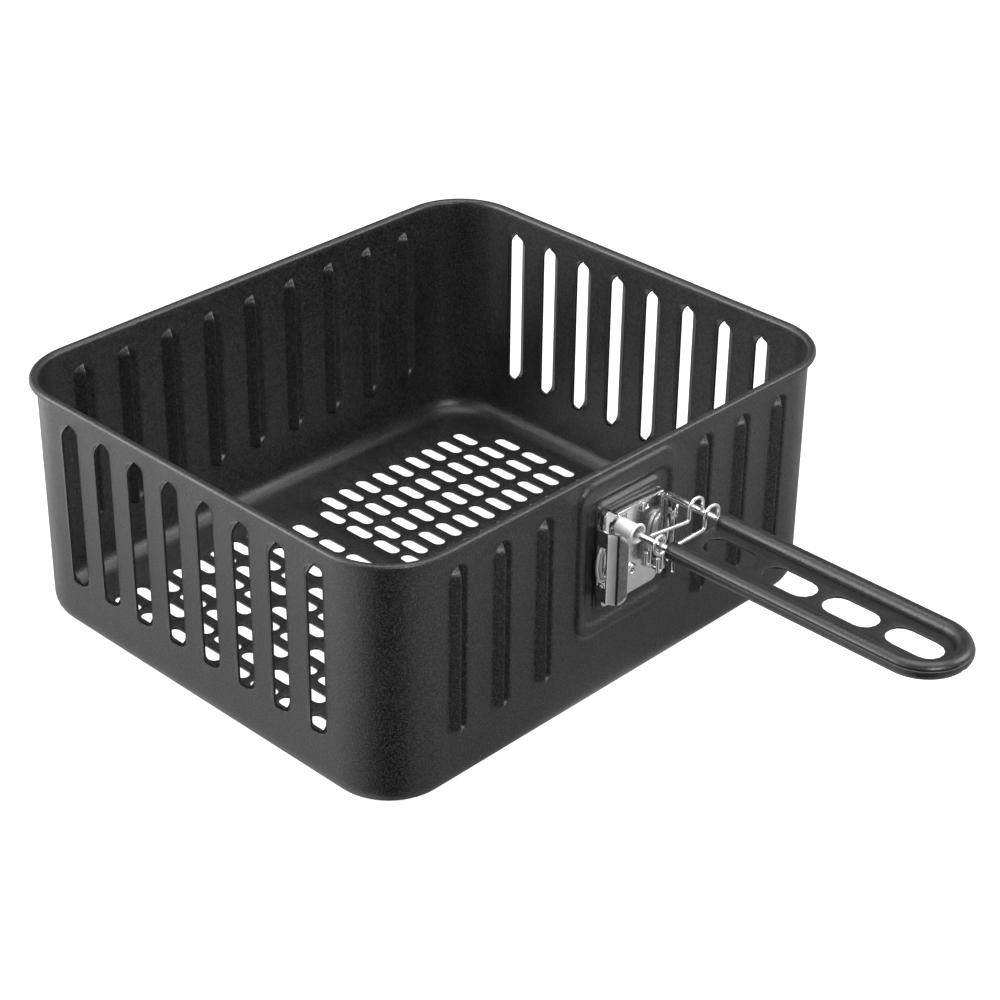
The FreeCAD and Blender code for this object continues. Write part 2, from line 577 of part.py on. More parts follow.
def latch_loop(side):
    """Oval loop of spring wire that stands in a channel and shows through its window."""
    wire = dim("loop_wire")
    outside = dim("channel_outer") + dim("loop_outside") - wire / 2
    inside = dim("channel_outer") - dim("loop_inside")
    radius = (outside - inside) / 2
    centre = (outside + inside) / 2
    middle = dim("window_bottom") + dim("window_tall") / 2
    straight = dim("window_tall") / 2 - dim("free_gap") - wire / 2 - radius
    y = PLATE_FACE - dim("free_gap") - wire / 2
    outline = rounded_outline(2 * radius, 2 * (straight + radius), radius - 1e-4)
    outline.Placement = Placement(Vector(side * centre, y, middle), Rotation(Vector(1, 0, 0), 90))
    return feature(f"latch_loop_{'left' if side < 0 else 'right'}", wire_solid(outline.OrderedEdges, wire))


PIECES = [basket_shell(), backing_plate(), handle_bracket()]
PIECES += [rivet(name) for name in RIVETS]
PIECES += [handle_wire(), grip_shell(), lock_sleeve(), clip_wire(), latch_loop(-1), latch_loop(1)]
doc.recompute()

for obj in doc.Objects:
    if {"Invalid", "Error"} & set(obj.State):
        raise RuntimeError(f"{obj.Label} failed: {obj.State}")
os.makedirs("parts", exist_ok=True)
for piece in PIECES:
    if piece.Shape.isNull() or not piece.Shape.isValid():
        raise RuntimeError(f"{piece.Label} has no valid shape")
    print(piece.Label, "solids", len(piece.Shape.Solids), "volume", round(piece.Shape.Volume, 1))
for piece in PIECES:
    piece.Shape.exportStep(f"parts/{piece.Label}.step")
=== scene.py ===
"""Air fryer basket with a lift-out wire handle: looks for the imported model.

Sizes below are millimetres in the model's frame: +Z up, the handle points to -Y, and the origin
is under the middle of the basket's floor.
"""
import math

import bmesh
import bpy
from mathutils import Matrix, Vector
from mathutils.geometry import delaunay_2d_cdt


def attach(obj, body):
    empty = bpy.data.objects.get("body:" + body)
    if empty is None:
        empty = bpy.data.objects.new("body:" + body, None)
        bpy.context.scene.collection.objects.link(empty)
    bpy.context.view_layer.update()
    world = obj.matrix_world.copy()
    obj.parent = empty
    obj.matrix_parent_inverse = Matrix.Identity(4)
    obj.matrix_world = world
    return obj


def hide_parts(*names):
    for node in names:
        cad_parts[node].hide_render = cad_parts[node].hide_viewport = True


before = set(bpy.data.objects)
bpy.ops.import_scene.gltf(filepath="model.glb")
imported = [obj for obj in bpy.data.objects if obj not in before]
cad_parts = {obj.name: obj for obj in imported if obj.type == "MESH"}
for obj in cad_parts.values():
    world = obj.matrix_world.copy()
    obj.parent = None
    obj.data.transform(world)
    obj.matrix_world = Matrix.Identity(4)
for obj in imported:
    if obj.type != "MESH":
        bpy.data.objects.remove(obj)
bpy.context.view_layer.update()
MM = 0.001

# Sizes that the looks share with the solids
RIM_X, RIM_Y = 140.0, 120.0
LIP = 3.2
WALL_X, WALL_Y, WALL_R = RIM_X - LIP, RIM_Y - LIP, 29.0
FILLET = 10.0
SHEET = 1.0
LOUVRE_LOW, LOUVRE_HIGH, LOUVRE_HALF, LOUVRE_END = 26.5, 106.5, 5.9, 4.8
LOUVRE_OUT, LOUVRE_IN, LOUVRE_GAP = 3.05, 3.5, 1.0
LOUVRE_STEP_X, LOUVRE_STEP_Y = 24.5, 21.9
# A louvre's cut has two stations in one place, with this offset to either side
CUT = 1e-6
PAD_FACE, PLATE_FACE = -118.8, -120.0
# The front pad's ring, trough and panel: rise, width of the slope, and a rounded rectangle by its
# middle height, half width, half height and corner radius
PAD_FORMS = ((1.8, 2.1, 74.7, 31.0, 38.0, 10.0),
             (-1.6, 2.4, 73.1, 26.6, 30.7, 7.0),
             (1.8, 1.8, 74.1, 20.0, 26.6, 4.0))
BACKING_FRONT, BACKING_BACK = -117.8, -116.8
RIVETS = (("upper_left", -7.4, 91.0), ("upper_right", 7.4, 91.0), ("lower", 0.0, 62.6))
EAR_END = -124.4
CHANNEL_LOW, CHANNEL_HIGH = 57.0, 90.6
SLOT_WIDE, SLOT_LONG, SLOT_STEP_X, SLOT_STEP_Y = 6.2, 15.2, 11.18, 18.55
ROD_X, ROD_Z, ROD_R = 16.0, 94.2, 1.7
LEG_Y, TURN_Y, MOUTH_Y = -123.6, -265.5, -154.3


# Mesh helpers

def new_object(name, vertices, faces):
    mesh = bpy.data.meshes.new(name)
    mesh.from_pydata([tuple(c * MM for c in v) for v in vertices], [], faces)
    mesh.validate()
    obj = bpy.data.objects.new(name, mesh)
    bpy.context.scene.collection.objects.link(obj)
    return obj


def add_modifier(obj, kind, **settings):
    modifier = obj.modifiers.new(kind.lower(), kind)
    for key, value in settings.items():
        setattr(modifier, key, value)


def settle(obj, sharp=35.0):
    """Apply the modifiers, and shade smooth with edges kept above an angle in degrees."""
    bpy.context.view_layer.update()
    evaluated = obj.evaluated_get(bpy.context.evaluated_depsgraph_get())
    mesh = bpy.data.meshes.new_from_object(evaluated)
    obj.modifiers.clear()
    obj.data = mesh
    work = bmesh.new()
    work.from_mesh(mesh)
    bmesh.ops.recalc_face_normals(work, faces=work.faces)
    for face in work.faces:
        face.smooth = True
    work.to_mesh(mesh)
    work.free()
    mesh.set_sharp_from_angle(angle=math.radians(sharp))
    return obj


def dress(obj, body, material, slot, *nodes):
    """Give a piece its material, its body and the solids that it stands for."""
    obj.data.materials.clear()
    obj.data.materials.append(material)
    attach(obj, body)
    if nodes:
        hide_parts(*nodes)
    return obj


def bent_line(points, radius, steps=8):
    """Straight runs through the points with round corners, as a list of points."""
    line = [Vector(points[0])]
    for before, corner, after in zip(points, points[1:], points[2:]):
        before, corner, after = Vector(before), Vector(corner), Vector(after)
        back, ahead = (before - corner).normalized(), (after - corner).normalized()
        half = back.angle(ahead) / 2
        centre = corner + (back + ahead).normalized() * (radius / math.sin(half))
        start = corner + back * (radius / math.tan(half)) - centre
        end = corner + ahead * (radius / math.tan(half)) - centre
        turn = start.angle(end)
        for k in range(steps + 1):
            share = k / steps
            a, b = math.sin((1 - share) * turn), math.sin(share * turn)
            line.append(centre + (start * a + end * b) / math.sin(turn))
    line.append(Vector(points[-1]))
    return line


def arc_points(centre, radius, first, last, steps, across, up):
    """Points of an arc about centre, in the plane of the across and up directions; degrees."""
    points = []
    for k in range(steps + 1):
        angle = math.radians(first + (last - first) * k / steps)
        along = Vector(across) * (radius * math.cos(angle))
        points.append(Vector(centre) + along + Vector(up) * (radius * math.sin(angle)))
    return points


def tube(name, line, radius, sides=16, closed=False):
    """Round wire along a line of points, with rounded ends."""
    line = [Vector(p) for p in line]
    clean = [line[0]]
    for point in line[1:]:
        if (point - clean[-1]).length > 1e-4:
            clean.append(point)
    if closed and (clean[0] - clean[-1]).length < 1e-4:
        clean.pop()
    count = len(clean)
    vertices, faces, rings = [], [], []
    heading = (clean[1] - clean[0]).normalized()
    side = heading.orthogonal().normalized()

    def ring(centre, size):
        first = len(vertices)
        for k in range(sides):
            angle = 2 * math.pi * k / sides
            vertices.append(centre + (side * math.cos(angle) + other * math.sin(angle)) * size)
        rings.append(first)

    for k, point in enumerate(clean):
        before = clean[k - 1] if k or closed else None
        after = clean[(k + 1) % count] if k < count - 1 or closed else None
        first = before if before is not None else point
        last = after if after is not None else point
        heading = (last - first).normalized()
        side = (side - heading * side.dot(heading)).normalized()
        other = heading.cross(side)
        if before is None:
            ring(point, radius * 0.72)
            ring(point + heading * radius * 0.28, radius)
        elif after is None:
            ring(point - heading * radius * 0.28, radius)
            ring(point, radius * 0.72)
        else:
            ring(point, radius)
    pairs = list(zip(rings, rings[1:]))
    if closed:
        pairs.append((rings[-1], rings[0]))
    for a, b in pairs:
        for k in range(sides):
            n = (k + 1) % sides
            faces.append((a + k, a + n, b + n, b + k))
    if not closed:
        faces.append(tuple(range(rings[0] + sides - 1, rings[0] - 1, -1)))
        faces.append(tuple(range(rings[-1], rings[-1] + sides)))
    return new_object(name, vertices, faces)


def lathe(name, profile, place, heading, sides=40):
    """Turn a closed profile of (radius, along) about an axis from place along heading."""
    axis = Vector(heading).normalized()
    side = axis.orthogonal().normalized()
    other = axis.cross(side)
    vertices, faces = [], []
    for radius, along in profile:
        for k in range(sides):
            angle = 2 * math.pi * k / sides
            around = side * math.cos(angle) + other * math.sin(angle)
            vertices.append(Vector(place) + axis * along + around * max(radius, 0.01))
    count = len(profile)
    for j in range(count):
        a, b = j * sides, ((j + 1) % count) * sides
        for k in range(sides):
            n = (k + 1) % sides
            faces.append((a + k, a + n, b + n, b + k))
    return new_object(name, vertices, faces)


def slot_loop(x, y, width, length, steps=7):
    """Outline of a round-ended slot, long in Y."""
    reach = (length - width) / 2
    top = arc_points((x, y + reach, 0), width / 2, 0, 180, steps, (1, 0, 0), (0, 1, 0))
    low = arc_points((x, y - reach, 0), width / 2, 180, 360, steps, (1, 0, 0), (0, 1, 0))
    return [(p.x, p.y) for p in top + low]


def in_slot(px, py, x, y, width, length):
    reach = max(0.0, abs(py - y) - (length - width) / 2)
    return math.hypot(px - x, reach) < width / 2 - 1e-3


def holed_sheet(outline, slots, lines=()):
    """Flat faces inside an outline, without the slots, as 2-D vertices and faces."""
    points, edges = [], []
    for loop in [list(outline)] + [slot_loop(*s) for s in slots]:
        first = len(points)
        points += [Vector(p) for p in loop]
        edges += [(first + k, first + (k + 1) % len(loop)) for k in range(len(loop))]
    for line in lines:
        first = len(points)
        points += [Vector(p) for p in line]
        edges += [(first + k, first + k + 1) for k in range(len(line) - 1)]
    flat, _, faces, *_ = delaunay_2d_cdt(points, edges, [], 1, 1e-6)
    kept = []
    for face in faces:
        px = sum(flat[k].x for k in face) / len(face)
        py = sum(flat[k].y for k in face) / len(face)
        if not any(in_slot(px, py, *s) for s in slots):
            kept.append(tuple(face))
    return [(p.x, p.y) for p in flat], kept


# Materials

def shader(name, colour, roughness, metallic=0.0):
    material = bpy.data.materials.new(name)
    material.use_nodes = True
    tree = material.node_tree
    surface = tree.nodes["Principled BSDF"]
    surface.inputs["Base Color"].default_value = (*colour, 1)
    surface.inputs["Roughness"].default_value = roughness
    surface.inputs["Metallic"].default_value = metallic
    return material, tree, surface


def noise(tree, scale, detail=3.0, rough=0.5):
    place = tree.nodes.new("ShaderNodeTexCoord")
    texture = tree.nodes.new("ShaderNodeTexNoise")
    texture.inputs["Scale"].default_value = scale
    texture.inputs["Detail"].default_value = detail
    texture.inputs["Roughness"].default_value = rough
    tree.links.new(place.outputs["Object"], texture.inputs["Vector"])
    return texture.outputs["Fac"]


def ramp(tree, source, low, high, start=0.35, end=0.65):
    """Map a 0 to 1 value to a range of grey or colour."""
    node = tree.nodes.new("ShaderNodeValToRGB")
    node.color_ramp.elements[0].position = start
    node.color_ramp.elements[1].position = end
    node.color_ramp.elements[0].color = (*low, 1)
    node.color_ramp.elements[1].color = (*high, 1)
    tree.links.new(source, node.inputs["Fac"])
    return node.outputs["Color"]


def grey(level):
    return (level, level, level)


def bump(tree, surface, height, strength, distance):
    node = tree.nodes.new("ShaderNodeBump")
    node.inputs["Strength"].default_value = strength
    node.inputs["Distance"].default_value = distance
    tree.links.new(height, node.inputs["Height"])
    tree.links.new(node.outputs["Normal"], surface.inputs["Normal"])


def coated_sheet():
    """Dark non-stick coating with a fine bright fleck and an orange-peel surface."""
    material, tree, surface = shader("coated_sheet", grey(0.02), 0.36)
    surface.inputs["IOR"].default_value = 1.5
    fleck = noise(tree, 1300.0, 2.0, 0.8)
    colour = ramp(tree, fleck, grey(0.005), grey(0.052), 0.42, 0.74)
    tree.links.new(colour, surface.inputs["Base Color"])
    gloss = ramp(tree, noise(tree, 60.0, 4.0), grey(0.32), grey(0.40))
    tree.links.new(gloss, surface.inputs["Roughness"])
    bump(tree, surface, noise(tree, 900.0, 2.0, 0.7), 0.6, 0.0002)
    return material


def coated_grip():
    """Satin black coating of the grip, darker than the basket's."""
    material, tree, surface = shader("coated_grip", grey(0.012), 0.34)
    colour = ramp(tree, noise(tree, 1300.0, 2.0, 0.8), grey(0.004), grey(0.03), 0.42, 0.74)
    tree.links.new(colour, surface.inputs["Base Color"])
    gloss = ramp(tree, noise(tree, 90.0, 4.0), grey(0.28), grey(0.38))
    tree.links.new(gloss, surface.inputs["Roughness"])
    bump(tree, surface, noise(tree, 900.0, 2.0, 0.7), 0.5, 0.0002)
    return material


def plated(name, colour, low, high, scale):
    """Bright plated metal with faint polishing marks."""
    material, tree, surface = shader(name, colour, low, 1.0)
    dull, clear = [c * 0.94 for c in colour], [min(1.0, c * 1.04) for c in colour]
    tone = ramp(tree, noise(tree, scale, 3.0), dull, clear)
    tree.links.new(tone, surface.inputs["Base Color"])
    gloss = ramp(tree, noise(tree, scale * 2.3, 4.0), grey(low), grey(high))
    tree.links.new(gloss, surface.inputs["Roughness"])
    bump(tree, surface, noise(tree, scale * 6, 2.0), 0.04, 0.0001)
    return material


COATED = coated_sheet()
GRIP = coated_grip()
PLATE = plated("plated_sheet", grey(0.78), 0.12, 0.22, 220.0)
WIRE = plated("plated_wire", grey(0.66), 0.18, 0.28, 300.0)
SLEEVE = plated("bright_sleeve", grey(0.92), 0.6, 0.66, 260.0)
SPRING = plated("spring_wire", grey(0.94), 0.34, 0.42, 320.0)


# Basket pressing

def louvre_lift(u, share):
    """Height of a half leaf at distance u from its cut, where share is 1 along its straight part."""
    q = share - abs(u) / LOUVRE_HALF
    soft = 0.16
    if q <= 0:
        return 0.0
    height = q * q / (2 * soft) if q < soft else q - soft / 2
    rise = LOUVRE_OUT if u < 0 else LOUVRE_IN
    return math.copysign(rise * height / (1 - soft / 2), -u)


def louvre_share(z, out):
    """Full along the louvre; an outward leaf ends in a slope, an inward one in a round."""
    slope_reach, slope_power, round_reach = 1.2 * LOUVRE_END, 2.6, 0.75 * LOUVRE_END
    reach = slope_reach if out else round_reach
    near = min((z - LOUVRE_LOW) / reach, (LOUVRE_HIGH - z) / reach, 1.0)
    if near <= 0:
        return 0.0
    return 1 - (1 - near) ** slope_power if out else math.sqrt(1 - (1 - near) ** 2)


def round_box(x, z, half_x, half_z, radius):
    """Signed distance from a rounded rectangle about the origin; negative inside."""
    dx, dz = abs(x) - half_x + radius, abs(z) - half_z + radius
    outside = math.hypot(max(dx, 0.0), max(dz, 0.0))
    return outside + min(max(dx, dz), 0.0) - radius


def smooth(value, width):
    """Even slope from 0 to 1 over a width, a little eased at both ends."""
    t = max(0.0, min(1.0, value / width))
    return 0.6 * t + 0.4 * t * t * (3 - 2 * t)


def pad_lift(x, z):
    """Rise of the front pad: a ring, a trough inside it, and the panel that the bracket sits on."""
    lift = 0.0
    for rise, slope, middle, *shape in PAD_FORMS:
        lift += rise * smooth(-round_box(x, z - middle, *shape), slope)
    return lift


def wall_stations():
    """Stations round the wall, anticlockwise from above, starting with the front wall.

    Each has its place, outward normal, offset from a louvre's cut, and the wall's turn in degrees.
    """
    stations = []
    fine, pad_step, coarse = LOUVRE_HALF / 8, 0.7, 3.0
    pad_half, pad_clear, corner_steps = 33.0, 36.0, 14
    for turn in (0, 90, 180, 270):
        spin = Matrix.Rotation(math.radians(turn), 3, "Z")
        if turn in (0, 180):
            half_run, face = WALL_X, WALL_Y
            places = [k * LOUVRE_STEP_X for k in range(5)]
        else:
            half_run, face = WALL_Y, WALL_X
            places = [LOUVRE_STEP_Y / 2 + k * LOUVRE_STEP_Y for k in range(4)]
        straight = half_run - WALL_R
        centres = sorted({s * c for c in places for s in (-1, 1)})
        if turn == 0:
            centres = [c for c in centres if abs(c) > pad_clear]
        marks = {}
        for centre in centres:
            for k in range(-9, 10):
                marks[round(centre + k * fine, 4)] = (centre, k)
        run = -straight
        while run < straight + 1e-6:
            near = min((abs(run - c) for c in centres), default=99)
            if near > 10 * fine:
                marks.setdefault(round(run, 4), None)
            run += pad_step if turn == 0 and abs(run) < pad_half else coarse
        marks.setdefault(round(-straight, 4), None)
        marks.setdefault(round(straight, 4), None)
        for mark in sorted(marks):
            place = spin @ Vector((mark, -face, 0))
            normal = spin @ Vector((0, -1, 0))
            found = marks[mark]
            if found and found[1] == 0:
                stations.append((place, normal, -CUT, turn))
                stations.append((place, normal, CUT, turn))
            else:
                offset = (mark - found[0]) if found else None
                stations.append((place, normal, offset, turn))
        corner = spin @ Vector((straight, -(face - WALL_R), 0))
        for k in range(1, corner_steps):
            angle = math.radians(-90 + 90 * k / corner_steps)
            normal = spin @ Vector((math.cos(angle), math.sin(angle), 0))
            stations.append((corner + normal * WALL_R, normal, None, None))
    return stations


def shell_rows():
    """Rows of the wall from the floor's edge up: (inset from the wall, height, kind)."""
    rows = []
    for k in range(9):
        angle = math.radians(90 * k / 8)
        rows.append((FILLET * (1 - math.sin(angle)), FILLET * (1 - math.cos(angle)), "base"))
    heights = [13, 17, 21, 24.5]
    ends = [LOUVRE_END * (1 - math.cos(math.radians(90 * k / 9))) for k in range(10)]
    heights += [LOUVRE_LOW + e for e in ends]
    heights += [33.0, 35.0] + [36.2 + 0.9 * k for k in range(15)] + [52, 60, 72, 84, 93, 96.5]
    heights += [97.8, 98.8, 99.3, 99.8, 100.3, 100.8] + [LOUVRE_HIGH - e for e in reversed(ends)]
    heights += [107.3 + 0.75 * k for k in range(9)]
    rows += [(0.0, z, "wall") for z in sorted(heights)]
    # The lip flares out with a small radius and rolls down at its edge
    flare, flat, roll, top = 1.2, 1.6, 0.45, 116.2
    turns = [math.radians(90 * k / 6) for k in range(1, 7)]
    rows += [(-flare * (1 - math.cos(a)), top - flare + flare * math.sin(a), "lip") for a in turns]
    rows.append((-flat, top, "lip"))
    rows += [(-flat - roll * math.sin(a), top - roll + roll * math.cos(a), "lip") for a in turns]
    rows.append((-flat - roll, top - flare, "lip"))
    return rows


def floor_slots():
    """Slots of the floor: two staggered middle rows and a field on each side."""
    slots = []
    middle_x, field_x, last_column, corner_y = 8.8, 18.1, 9, 80
    for column in range(-1, last_column + 1):
        x = middle_x if column < 0 else field_x + SLOT_STEP_X * column
        stagger = 0.0 if column < 0 else 0.5
        for y in [SLOT_STEP_Y * (k + stagger) for k in range(5)]:
            # The floor's rounded corners leave no room for a slot
            if column == last_column and y > corner_y:
                continue
            for sx in (-1, 1):
                for sy in ((-1, 1) if y else (1,)):
                    slots.append((sx * x, sy * y, SLOT_WIDE, SLOT_LONG))
    return slots


def basket_shell():
    stations, rows = wall_stations(), shell_rows()
    vertices, faces, index = [], [], {}
    for i, (place, normal, offset, turn) in enumerate(stations):
        for j, (inset, z, kind) in enumerate(rows):
            lift, draw = -inset, 0.0
            if kind == "wall":
                if offset is not None:
                    leaf = louvre_lift(offset, louvre_share(z, offset < 0))
                    lift += leaf
                    # A bent leaf draws its cut edge back from the other leaf's
                    draw = math.copysign(LOUVRE_GAP, offset) * (abs(leaf) / LOUVRE_OUT) ** 0.6
                if turn == 0:
                    lift += pad_lift(place.x, z)
            point = place + normal * lift + Vector((-normal.y, normal.x, 0)) * draw
            # Where the leaves don't part, the cut's two stations share their points
            if offset == CUT and lift == -inset:
                index[i, j] = index[i - 1, j]
                continue
            index[i, j] = len(vertices)
            vertices.append((point.x, point.y, z))
    count = len(stations)
    for i in range(count):
        n = (i + 1) % count
        if stations[i][2] == -CUT:
            continue
        for j in range(len(rows) - 1):
            faces.append((index[i, j], index[n, j], index[n, j + 1], index[i, j + 1]))
    # Floor with its slots and a shallow middle bead, joined to the rounded edge
    loop = []
    for i in range(count):
        if index[i, 0] not in loop[-1:]:
            loop.append(index[i, 0])
    outline = [vertices[k][:2] for k in loop]
    bead_foot, bead_top, bead_half, bead_rise = 3.6, 2.2, 96.0, 0.55
    beads = []
    for x in (-bead_foot, -bead_top, bead_top, bead_foot):
        beads.append([(x, bead_half * (k / 8 - 1)) for k in range(17)])
    flat, kept = holed_sheet(outline, floor_slots(), beads)
    nearest = {(round(x, 3), round(y, 3)): k for k, (x, y) in zip(loop, outline)}
    ids = []
    for x, y in flat:
        found = nearest.get((round(x, 3), round(y, 3)))
        if found is None:
            found = len(vertices)
            raised = bead_rise if abs(x) < bead_top + 0.1 and abs(y) < bead_half + 1 else 0.0
            vertices.append((x, y, raised))
        ids.append(found)
    for face in kept:
        faces.append(tuple(ids[k] for k in reversed(face)))
    shell = new_object("shell", vertices, faces)
    add_modifier(shell, "SOLIDIFY", thickness=SHEET * MM, offset=-1.0, use_even_offset=True)
    add_modifier(shell, "BEVEL", width=0.16 * MM, segments=2, limit_method="ANGLE",
                 angle_limit=math.radians(60), use_clamp_overlap=False)
    return settle(shell, 40.0)


dress(basket_shell(), "basket", COATED, "coated_sheet", "basket_shell")


# Bracket, rivets and backing plate

def slab(name, outline, low, high, bevel=0.25):
    """Plate of an XZ outline between two Y values, with softened edges."""
    count = len(outline)
    vertices = [(x, low, z) for x, z in outline] + [(x, high, z) for x, z in outline]
    faces = [tuple(range(count - 1, -1, -1)), tuple(range(count, 2 * count))]
    faces += [(k, (k + 1) % count, count + (k + 1) % count, count + k) for k in range(count)]
    obj = new_object(name, vertices, faces)
    add_modifier(obj, "BEVEL", width=bevel * MM, segments=2, limit_method="ANGLE")
    return settle(obj)


def rounded_xz(half_x, low, high, radius, steps=6):
    points = []
    for cx, cz, first in ((half_x - radius, low + radius, 270), (half_x - radius, high - radius, 0),
                          (-half_x + radius, high - radius, 90), (-half_x + radius, low + radius, 180)):
        for p in arc_points((cx, 0, cz), radius, first, first + 90, steps, (1, 0, 0), (0, 0, 1)):
            points.append((p.x, p.z))
    return points


def channel(side):
    """One side channel of the bracket: ear with its window, slanted strip and sloped D-shaped lip."""
    outer, inner, bend, gauge = 19.4, 13.9, 1.5, 1.2
    low, high, window_low, window_high = CHANNEL_LOW, CHANNEL_HIGH, 64.2, 83.2
    round_off, lip_slope, taper = 4.0, 0.675, 1.5
    line = [(16.0, PAD_FACE), (18.4, PAD_FACE), (outer, PAD_FACE - 0.7)]
    line += [(outer, PLATE_FACE), (outer, -122.6), (outer, EAR_END)]
    # A slanted strip leads from the ear to the sloped lip
    heading = 0.0
    for turn, run in ((27.0, 3.2), (29.0, 0.1)):
        arc = bend * math.radians(turn) / 5
        for more, reach in [(turn / 5, arc)] * 5 + [(0.0, run)]:
            heading += more
            angle = math.radians(heading)
            x, y = line[-1]
            line.append((x - reach * math.sin(angle), y - reach * math.cos(angle)))
    last_x, last_y = line[-1]
    edge = [inner + round_off * (1 - math.sin(math.radians(a))) for a in (25, 40, 55, 70, 86)]
    for x in edge:
        line.append((x, last_y - lip_slope * (last_x - x)))
    levels = [low, 58.6, 61, window_low, 68, 73, 78, window_high, 86, 88.4, high]
    vertices, faces = [], []
    middle = (low + high) / 2
    for x, y in line:
        depth = max(0.0, inner + round_off - x)
        drop = taper * (round_off - math.sqrt(round_off ** 2 - depth ** 2))
        for z in levels:
            vertices.append((side * x, y, middle + (z - middle) * (1 - drop / (high - middle))))
    rows = len(levels)
    for i in range(len(line) - 1):
        flat = line[i][0] > outer - 0.1 and line[i][1] <= PLATE_FACE + 1e-6
        in_ear = flat and line[i + 1][1] >= EAR_END - 0.1
        for j in range(rows - 1):
            if in_ear and window_low <= levels[j] < window_high:
                continue
            quad = (i * rows + j, (i + 1) * rows + j, (i + 1) * rows + j + 1, i * rows + j + 1)
            faces.append(quad if side > 0 else quad[::-1])
    obj = new_object(f"bracket_channel_{'right' if side > 0 else 'left'}", vertices, faces)
    add_modifier(obj, "SOLIDIFY", thickness=gauge * MM, offset=-1.0, use_even_offset=True)
    add_modifier(obj, "BEVEL", width=0.22 * MM, segments=2, limit_method="ANGLE",
                 angle_limit=math.radians(50))
    return settle(obj)


def joined(name, pieces):
    """Join finished pieces into one mesh."""
    work = bmesh.new()
    for piece in pieces:
        work.from_mesh(piece.data)
        bpy.data.objects.remove(piece)
    mesh = bpy.data.meshes.new(name)
    work.to_mesh(mesh)
    work.free()
    mesh.set_sharp_from_angle(angle=math.radians(35))
    obj = bpy.data.objects.new(name, mesh)
    bpy.context.scene.collection.objects.link(obj)
    return obj


def box_piece(name, low, high, bevel=0.25):
    outline = [(low[0], low[2]), (high[0], low[2]), (high[0], high[2]), (low[0], high[2])]
    return slab(name, outline, low[1], high[1], bevel)


plate = slab("bracket_plate", rounded_xz(17.4, 51.0, 96.6, 3.0), PLATE_FACE, PAD_FACE)
flange = box_piece("bracket_flange", (-14.0, EAR_END, 96.1), (14.0, PAD_FACE, 97.3), 0.3)
feet = []
for side in (-1, 1):
    low, high = (side * ROD_X - 2.2, -123.8, CHANNEL_LOW), (side * ROD_X + 2.2, -119.4, 58.2)
    feet.append(box_piece(f"bracket_foot_{side}", low, high))
BRACKET = joined("bracket", [plate, flange, channel(-1), channel(1)] + feet)
dress(BRACKET, "basket", PLATE, "plated_sheet", "handle_bracket")

backing = slab("backing", rounded_xz(20.0, 50.8, 98.8, 2.0), BACKING_FRONT, BACKING_BACK, 0.2)
dress(backing, "basket", COATED, "coated_sheet", "backing_plate")

# Profiles of turned pieces are points of (radius, along the axis)
rivet_profile = [(0, -0.8), (2.5, -0.8), (3.0, -0.65), (3.2, -0.3), (3.2, 0.0), (2.0, 0.0), (2.0, 3.2),
                 (3.2, 3.2), (3.2, 3.6), (3.0, 4.1), (2.5, 4.45), (1.9, 4.6), (1.4, 4.55), (1.1, 4.2),
                 (1.1, 1.7), (0, 1.7)]
for name, x, z in RIVETS:
    turned = lathe(f"rivet_{name}_turned", rivet_profile, (x, BACKING_BACK, z), (0, -1, 0))
    rivet = settle(turned, 40.0)
    dress(rivet, "basket", PLATE, "plated_sheet", f"rivet_{name}")


# Handle

left_rod = bent_line([(-ROD_X, LEG_Y, 58.3), (-ROD_X, LEG_Y, ROD_Z), (-ROD_X, TURN_Y, ROD_Z)], 2.2)
round_end = arc_points((0, TURN_Y, ROD_Z), ROD_X, 180, 360, 28, (1, 0, 0), (0, 1, 0))
right_rod = [Vector((-p.x, p.y, p.z)) for p in reversed(left_rod)]
rods = settle(tube("handle_rods", left_rod + round_end[1:-1] + right_rod, ROD_R, 24))
dress(rods, "handle", WIRE, "plated_wire", "handle_wire")


def grip_section():
    """Section of the curl as (outward, up, angle), with its lengthwise seam on the outer side."""
    section = []
    curl, seam_depth, seam_at, seam_width = 3.78, 0.55, 22.5, 5.0
    for degrees in [7.5 * k for k in range(48)]:
        size = curl - seam_depth * math.exp(-((degrees - seam_at) / seam_width) ** 2)
        angle = math.radians(degrees)
        section.append((size * math.cos(angle), size * math.sin(angle), degrees))
    return section


def grip_path():
    """Stations along the curl: place, outward heading, scale of the section, and notch depth."""
    mouth_scale, notch_depth, notch_half = 0.93, 1.4, 4
    path = [(-ROD_X, MOUTH_Y - run, -1, 0, 1.0, 0.0) for run in (0.0, 0.4, 3.0, 40.0, 80.0)]
    path[0] = path[0][:4] + (mouth_scale, 0.0)
    turns = sorted([180 + 5.625 * k for k in range(33)] + [265.6, 266.2, 273.8, 274.4])
    for degrees in turns:
        angle = math.radians(degrees)
        nx, ny = math.cos(angle), math.sin(angle)
        notch = notch_depth if abs(degrees - 270) < notch_half else 0.0
        path.append((ROD_X * nx, TURN_Y + ROD_X * ny, nx, ny, 1.0, notch))
    return path + [(-p[0], p[1], 1, 0, p[4], 0.0) for p in reversed(path[:5])]


